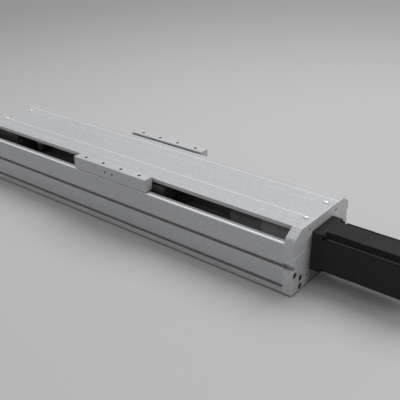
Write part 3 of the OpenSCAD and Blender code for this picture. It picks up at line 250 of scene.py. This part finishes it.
def painted_shade_under_cover(g):
    """Painted shade on the table under the cover between its wings, and in its holes; the wings are bare.
    """
    aside = g.aside()
    outside = g.span(aside, TABLE_BODY_Y - SHARP, TABLE_BODY_Y + SHARP)
    above = g.span(g.along("Z"), TABLE_OPEN_Z - SHARP, TABLE_OPEN_Z + SHARP)
    covered = g.span(g.either(outside, above), 0.0, 1.0, 0.11, 1.0)
    along_row = g.math("PINGPONG", g.less(g.along("X"), WING_HOLE_X), WING_HOLE_PITCH / 2)
    holes = hole_shade(g, along_row, g.less(aside, WING_HOLE_Y), 2.7 * MM)
    from_flag = g.less(g.size(g.less(g.along("X"), TABLE_X)), FLAG_HOLE_PITCH / 2)
    flags = hole_shade(g, from_flag, g.less(g.along("Z"), FLAG_HOLE_Z), 1.6 * MM)
    return g.times(covered, g.times(holes, flags))


def painted_foot_shadow(g):
    """Painted shadow on the bevel at the foot."""
    return g.span(g.along("Z"), FOOT_BEVEL_Z - SHARP, FOOT_BEVEL_Z + SHARP, 0.5, 1.0)


def painted_lip_highlight(g):
    """Painted highlight on the rounded lip on top of the side walls where it is open above, and painted
    shade on the flat inside it.
    """
    lip = g.span(g.aside(), 72.5 * MM, 72.9 * MM, 0.7, 2.0)
    open_above = g.span(g.cavity(9 * MM), 0.6, 0.9)
    high = g.times(open_above, g.span(g.along("Z"), 76.8 * MM, 77.3 * MM))
    lifted = g.math("ADD", 1.0, g.times(high, g.less(lip, 1.0)))
    return g.times(lifted, painted_foot_shadow(g))


def painted_motor_shadow(g):
    """Painted shadow of the motor on the end plate: darker beside the motor's flange and more so under
    it.
    """
    aside = g.aside()
    height = g.along("Z")
    over_flange = g.span(height, 70 * MM, 78 * MM)
    beside = g.either(g.span(aside, 29 * MM, 42 * MM, 0.55, 1.0), over_flange)
    clear_of_flange = g.either(g.span(height, 21 * MM, 23 * MM), g.span(aside, 29.5 * MM, 31 * MM))
    under = g.span(clear_of_flange, 0.0, 1.0, 0.7, 1.0)
    return g.times(beside, g.times(painted_foot_shadow(g), under))


def painted_step_highlights(g):
    """Painted highlights on the steep steps beside the cover's bands, strongest on those that face the
    rear.
    """
    steep = g.span(g.size(g.upward()), 0.3, 0.7, 1.0, 0.0)
    on_top = g.span(g.along("Z"), COVER_TOP_Z - 2 * SHARP, COVER_TOP_Z)
    highlight = g.span(g.times(steep, on_top), 0.0, 1.0, 1.0, 2.0)
    for step_y in COVER_REAR_STEPS:
        beside = g.size(g.less(g.along("Y"), step_y))
        highlight = g.times(highlight, g.span(beside, 0.5 * MM, 0.9 * MM, 1.5, 1.0))
    return highlight


def painted_shade_upwards(low, high):
    """Painted shade on the blocks of the drive head, darker towards their top and less so towards their
    foot.
    """
    return lambda g: g.span(g.along("Z"), 73 * MM, 86.5 * MM, low, high)


# ---- Materials ----

# Grains, as noise per metre along each axis
ALONG_X = (12.0, 2600.0, 2600.0)
ACROSS = (2600.0, 30.0, 2600.0)
ALL_WAYS = (2100.0, 2100.0, 2100.0)
BLASTED = (800.0, 800.0, 800.0)

MATERIALS = {
    "anodised_profile": metal("anodised_profile", 0.47, 0.5, (500.0, 1100.0, 1100.0), 0.03 * MM,
                              metallic=0.35, wear_and_sheen=0.05, edge_radius=0.7 * MM, speckle=0.4,
                              relief_share=4.0, shade=painted_lip_highlight),
    "anodised_plate": metal("anodised_plate", 0.51, 0.55, BLASTED, 0.06 * MM, metallic=0.3, wear_and_sheen=0.05,
                            edge_radius=0.6 * MM, speckle=0.6, relief_share=4.0, shade=painted_foot_shadow),
    "motor_end_aluminium": metal("motor_end_aluminium", 0.5, 0.55, BLASTED, 0.06 * MM, metallic=0.3,
                                 wear_and_sheen=0.05, edge_radius=0.6 * MM, speckle=0.6, relief_share=4.0,
                                 shade=painted_motor_shadow),
    "anodised_cover": metal("anodised_cover", 0.42, 0.6, (700.0, 800.0, 800.0), 0.05 * MM,
                            metallic=0.1, wear_and_sheen=0.28, cavity_shade=1.0, cavity_shade_reach=3 * MM,
                            edge_radius=0.9 * MM, speckle=0.5, relief_share=3.0, shade=painted_step_highlights),
    "table_aluminium": metal("table_aluminium", 0.47, 0.55, BLASTED, 0.06 * MM, metallic=0.3,
                             wear_and_sheen=0.08, edge_radius=0.6 * MM, speckle=0.5, shade=painted_shade_under_cover),
    # The drive head's blocks: machined aluminium with painted shade, darker towards the top.
    "head_block": metal("head_block", 0.52, 0.45, ACROSS, 0.015 * MM, metallic=0.6,
                        shade=painted_shade_upwards(0.62, 0.12)),
    "bearing_block": metal("bearing_block", 0.9, 0.45, ACROSS, 0.015 * MM, metallic=0.6,
                           shade=painted_shade_upwards(0.62, 0.15)),
    # Idler housing: machined aluminium made nearly black, as painted shade inside the axis.
    "idler_block_in_painted_shade": metal("idler_block_in_painted_shade", 0.06, 0.45, ACROSS, 0.015 * MM, metallic=0.4),
    "machined_aluminium": metal("machined_aluminium", 0.52, 0.36, ACROSS, 0.015 * MM),
    # Near black, as painted shade inside the tapped holes.
    "thread_painted_shade": metal("thread_painted_shade", 0.05, 0.4, ALL_WAYS, 0.01 * MM, metallic=0.5),
    "ground_steel": metal("ground_steel", 0.60, 0.24, ALONG_X, 0.006 * MM, tint=(1, 1, 1.01)),
    "bearing_steel": metal("bearing_steel", 0.56, 0.16, ACROSS, 0.004 * MM, tint=(1, 1, 1.01)),
    "gear_steel": metal("gear_steel", 0.36, 0.34, ALL_WAYS, 0.01 * MM, tint=(1.02, 1, 0.98)),
    "zinc_screws": metal("zinc_screws", 0.85, 0.34, ALL_WAYS, 0.006 * MM, tint=(0.99, 1.0, 1.0),
                         metallic=0.4),
    "black_screws": coating("black_screws", 0.02, 0.45, ALL_WAYS, 0.008 * MM, wear_and_sheen_to=0.06,
                            specular=0.35),
    "motor_black": coating("motor_black", 0.018, 0.6, (900.0, 900.0, 900.0), 0.03 * MM,
                           wear_and_sheen_to=0.024, specular=0.15, hollow_light=0.045, painted_top_shade=0.55),
    "motor_screw": coating("motor_screw", 0.008, 0.6, ALL_WAYS, 0.008 * MM, wear_and_sheen_to=0.014,
                           specular=0.1),
    "dark_plastic": coating("dark_plastic", 0.03, 0.5, (1500.0, 1500.0, 1500.0), 0.02 * MM),
    "belt_rubber": coating("belt_rubber", 0.07, 0.62, (1300.0, 2600.0, 1300.0), 0.02 * MM),
    "buffer_rubber": coating("buffer_rubber", 0.02, 0.7, (1100.0, 1100.0, 1100.0), 0.03 * MM),
}

# Nodes with a look of their own; the others take the look of their slot
OWN_LOOK = {
    "carriage_table": "table_aluminium",
    "side_block_front": "head_block",
    "side_block_rear": "head_block",
    "pinion_bearing_block": "bearing_block",
    "idler_housing": "idler_block_in_painted_shade",
    "motor_screws": "motor_screw",
    "motor_end_plate": "motor_end_aluminium",
}

for part in frame["record"]["subparts"]:
    node = NODES[part["node"]]
    node.data.materials.clear()
    node.data.materials.append(MATERIALS[OWN_LOOK.get(part["node"], part["material_slot"])])


# ---- Threads in the tapped holes ----

MOUNTS = {m["name"]: m for m in frame["record"]["mounts"]}
THREAD_RADIUS, THREAD_PITCH, THREAD_RIDGE = 2.5 * MM, 1.0 * MM, 0.3 * MM
THREAD_STEPS = 28


def add_thread(bm, mouth, inward, depth):
    """A thread's ridge, wound down a hole from its mouth."""
    inward = Vector(inward).normalized()
    side = inward.orthogonal().normalized()
    other = inward.cross(side)
    foot = THREAD_RADIUS + 0.02 * MM
    section = ((foot, -0.45 * THREAD_PITCH), (THREAD_RADIUS - THREAD_RIDGE, 0.0),
               (foot, 0.45 * THREAD_PITCH))
    last = None
    for i in range(int((depth / THREAD_PITCH - 1) * THREAD_STEPS)):
        turn = 2 * math.pi * i / THREAD_STEPS
        out = side * math.cos(turn) + other * math.sin(turn)
        down = THREAD_PITCH * (i / THREAD_STEPS + 0.75)
        row = [bm.verts.new(Vector(mouth) + out * r + inward * (down + d)) for r, d in section]
        if last:
            for k in (0, 1):
                bm.faces.new((last[k], last[k + 1], row[k + 1], row[k]))
        last = row


def threads(name, body, holes, depth):
    bm = bmesh.new()
    for mouth, inward in holes:
        add_thread(bm, mouth, inward, depth)
    for face in bm.faces:
        face.smooth = True
    mesh = bpy.data.meshes.new(name)
    bm.to_mesh(mesh)
    bm.free()
    mesh.materials.append(MATERIALS["thread_painted_shade"])
    made = bpy.data.objects.new(name, mesh)
    bpy.context.scene.collection.objects.link(made)
    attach(made, body)


def pattern(name):
    """The holes of a bolt pattern on a face that looks up or down, as (mouth, inward) pairs."""
    mount = MOUNTS[name]
    x, y, z = mount["pos_m"]
    dx = mount["dims"]["spacing_x_mm"] * MM / 2
    dy = mount["dims"]["spacing_y_mm"] * MM / 2
    inward = tuple(-a for a in mount["axis"])
    return [((x + sx * dx, y + sy * dy, z), inward) for sx in (-1, 1) for sy in (-1, 1)]


WING_HOLES = pattern("table_holes_outer") + pattern("table_holes_inner")
FOOT_HOLES = pattern("foot_holes_outer") + pattern("foot_holes_inner")
threads("wing_hole_threads", "table", WING_HOLES, 12 * MM)
threads("foot_hole_threads", "frame", FOOT_HOLES, 9 * MM)


# ---- Stage, lights and camera ----

FLOOR_HALF = 6.0
FLOOR_DROP = 0.2 * MM
FLOOR_NEAR, FLOOR_FAR = 0.455, 0.285
FLOOR_MIDDLE = (0.4, -0.2, 0.0)
FADE_FROM, FADE_TO = 0.5, 2.3
CAMERA_PLACE = (0.69687, -0.74636, 0.52820)
CAMERA_YAW, CAMERA_PITCH, CAMERA_ROLL = -37.99, 26.73, -0.13


def stage_floor():
    """A pale floor, lighter around the axis than far away, as a painted pool of light."""
    mesh = bpy.data.meshes.new("floor")
    half = FLOOR_HALF
    mesh.from_pydata([(-half, -half, 0), (half, -half, 0), (half, half, 0), (-half, half, 0)], [],
                     [(0, 1, 2, 3)])
    floor = bpy.data.objects.new("floor", mesh)
    bpy.context.scene.collection.objects.link(floor)
    floor.location.z = -FLOOR_DROP
    g = Graph("floor", Roughness=0.85, Specular_IOR_Level=0.2)
    away = g.add("VectorMath", {"operation": "DISTANCE"}, _0=g.object_place(),
                 _1=FLOOR_MIDDLE).outputs["Value"]
    fade = g.add("MapRange", {"interpolation_type": "SMOOTHSTEP"}, Value=away, From_Min=FADE_FROM,
                 From_Max=FADE_TO, To_Min=0.0, To_Max=1.0).outputs["Result"]
    g.link(g.mix(fade, grey(FLOOR_NEAR), grey(FLOOR_FAR)), "Base Color")
    mesh.materials.append(g.material)


def lamp(name, place, target, size, watts):
    data = bpy.data.lights.new(name, "AREA")
    data.shape, data.size, data.energy = "SQUARE", size, watts
    made = bpy.data.objects.new(name, data)
    bpy.context.scene.collection.objects.link(made)
    made.location = place
    aim = Vector(target) - Vector(place)
    made.rotation_euler = aim.to_track_quat("-Z", "Y").to_euler()


def sky(horizon, zenith, seen):
    """A grey dome that grows lighter towards its top, seen in the tone of the far floor."""
    world = bpy.data.worlds.new("sky")
    bpy.context.scene.world = world
    world.use_nodes = True
    tree = world.node_tree
    where = tree.nodes.new("ShaderNodeTexCoord")
    split = tree.nodes.new("ShaderNodeSeparateXYZ")
    tree.links.new(where.outputs["Generated"], split.inputs[0])
    rise = tree.nodes.new("ShaderNodeMapRange")
    tree.links.new(split.outputs["Z"], rise.inputs["Value"])
    rise.inputs["To Min"].default_value = horizon
    rise.inputs["To Max"].default_value = zenith
    choose = tree.nodes.new("ShaderNodeMix")
    seen_directly = tree.nodes.new("ShaderNodeLightPath").outputs["Is Camera Ray"]
    tree.links.new(seen_directly, choose.inputs[0])
    tree.links.new(rise.outputs["Result"], choose.inputs[2])
    choose.inputs[3].default_value = seen
    tree.links.new(choose.outputs[0], tree.nodes["Background"].inputs["Strength"])
    tree.nodes["Background"].inputs["Color"].default_value = grey(1.0)


def camera():
    """A long lens that looks down at the near right corner."""
    yaw, pitch, roll = (math.radians(a) for a in (CAMERA_YAW, CAMERA_PITCH, CAMERA_ROLL))
    forward = Vector((math.sin(yaw) * math.cos(pitch), math.cos(yaw) * math.cos(pitch), -math.sin(pitch)))
    level = Vector((math.cos(yaw), -math.sin(yaw), 0.0))
    up = level.cross(forward)
    right = level * math.cos(roll) + up * math.sin(roll)
    up = up * math.cos(roll) - level * math.sin(roll)
    data = bpy.data.cameras.new("camera")
    data.lens, data.sensor_width = 61.3, 36.0
    made = bpy.data.objects.new("camera", data)
    bpy.context.scene.collection.objects.link(made)
    turned = Matrix((right, up, -forward)).transposed().to_4x4()
    made.matrix_world = Matrix.Translation(CAMERA_PLACE) @ turned
    bpy.context.scene.camera = made


stage_floor()
sky(0.42, 0.62, 0.19)
lamp("key", (0.0, 1.6, 2.8), (0.1, 0.0, 0.05), 2.4, 71.0)
lamp("side", (2.6, 0.6, 1.3), (0.3, 0.0, 0.05), 1.4, 12.0)
camera()
bpy.context.scene.view_settings.view_transform = "Standard"
